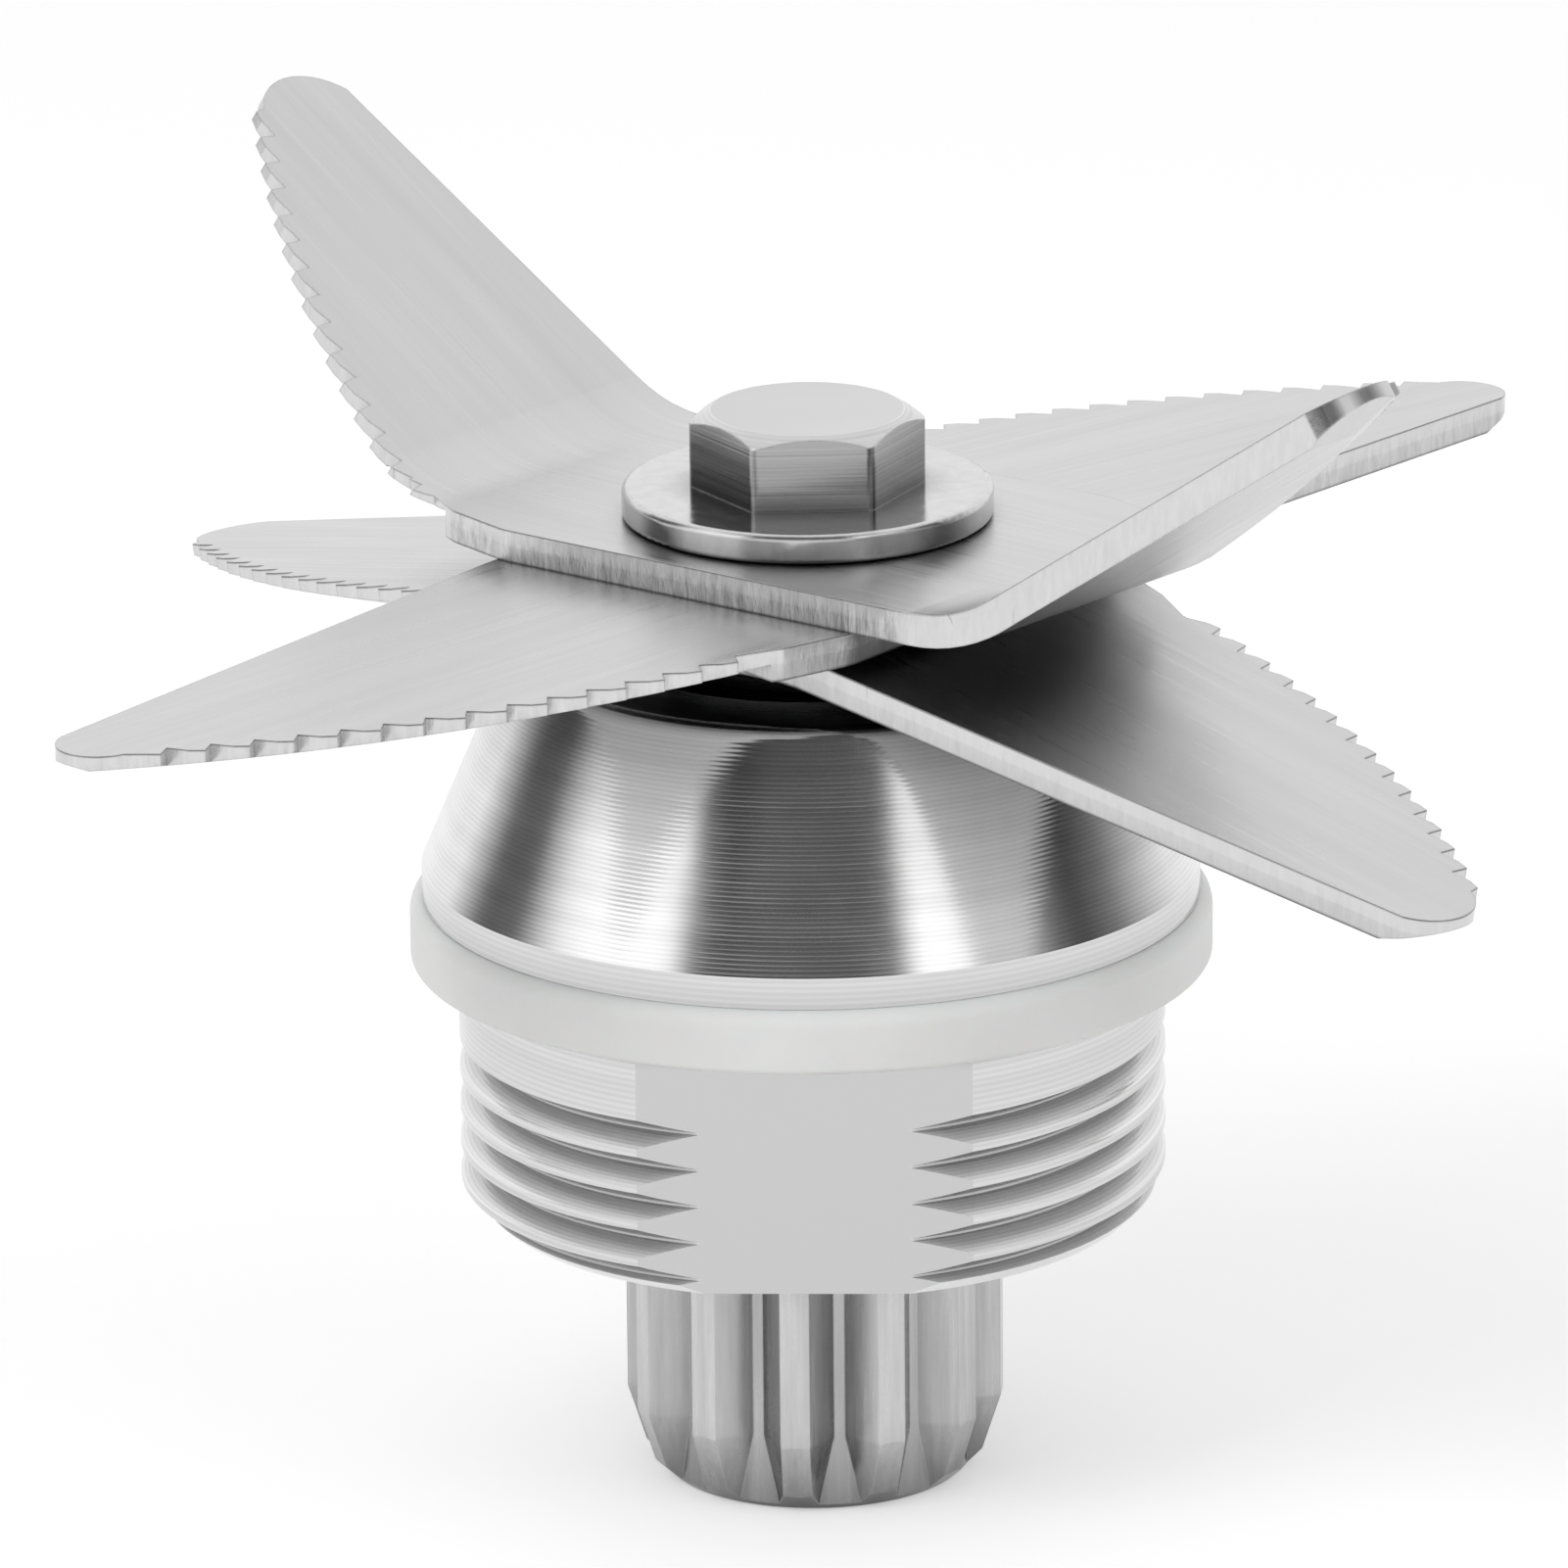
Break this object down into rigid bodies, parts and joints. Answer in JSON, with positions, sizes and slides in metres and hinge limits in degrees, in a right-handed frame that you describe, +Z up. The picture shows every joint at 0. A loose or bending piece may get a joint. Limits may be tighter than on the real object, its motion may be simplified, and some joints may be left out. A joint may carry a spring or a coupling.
{
  "type": "blender blade assembly",
  "caption": "Blender jar blade unit with serrated folded blades on a bearing spindle, in a conical threaded housing with a gasket, driven by a male spline from below",
  "frame": {"origin": "on the spindle axis at the end of the drive spline, the lowest point of the object", "axes": "+Z up the spindle axis from the drive spline to the blades, +Y square to the rear spanner flat, +X to the right of the front flat, which faces -Y"},
  "size_m": [0.0686, 0.065, 0.0629],
  "materials": {
    "blade_steel": "satin stainless sheet with ground edges",
    "turned_steel": "turned stainless steel with fine tool grooves",
    "machined_steel": "plain machined steel",
    "polished_steel": "polished stainless steel",
    "bearing_steel": "ground bearing steel",
    "spring_steel": "dark spring steel",
    "milky_rubber": "milky silicone",
    "dark_rubber": "black seal rubber"
  },
  "bodies": {
    "housing_body": {"housing": "turned_steel", "jar_gasket": "milky_rubber", "seal_case": "bearing_steel", "seal_lip": "dark_rubber", "seal_spring": "bearing_steel", "upper_bearing_outer_ring": "bearing_steel", "lower_bearing_outer_ring": "bearing_steel", "upper_bearing_top_shield": "bearing_steel", "upper_bearing_bottom_shield": "bearing_steel", "lower_bearing_top_shield": "bearing_steel", "lower_bearing_bottom_shield": "bearing_steel", "outer_spacer": "machined_steel", "retaining_ring": "spring_steel"},
    "rotor": {"spindle": "machined_steel", "blade_collar": "machined_steel", "lower_blade": "blade_steel", "middle_blade": "blade_steel", "upper_blade": "blade_steel", "clamp_washer": "polished_steel", "blade_bolt": "polished_steel", "upper_bearing_inner_ring": "bearing_steel", "lower_bearing_inner_ring": "bearing_steel", "inner_spacer": "machined_steel"},
    "upper_ball_set": {"upper_bearing_cage": "bearing_steel", "upper_bearing_balls": "bearing_steel"},
    "lower_ball_set": {"lower_bearing_cage": "bearing_steel", "lower_bearing_balls": "bearing_steel"}
  },
  "joints": [
    {"name": "spindle_spin", "type": "hinge", "parent": "housing_body", "child": "rotor", "pos_m": [0, 0, 0.02725], "axis": [0, 0, 1], "continuous": true},
    {"name": "upper_cage_spin", "type": "hinge", "parent": "housing_body", "child": "upper_ball_set", "pos_m": [0, 0, 0.0325], "axis": [0, 0, 1], "continuous": true},
    {"name": "lower_cage_spin", "type": "hinge", "parent": "housing_body", "child": "lower_ball_set", "pos_m": [0, 0, 0.022], "axis": [0, 0, 1], "continuous": true}
  ],
  "couplings": [
    {"joint": "upper_cage_spin", "follows": "spindle_spin", "ratio": 0.3678},
    {"joint": "lower_cage_spin", "follows": "spindle_spin", "ratio": 0.3678}
  ]
}
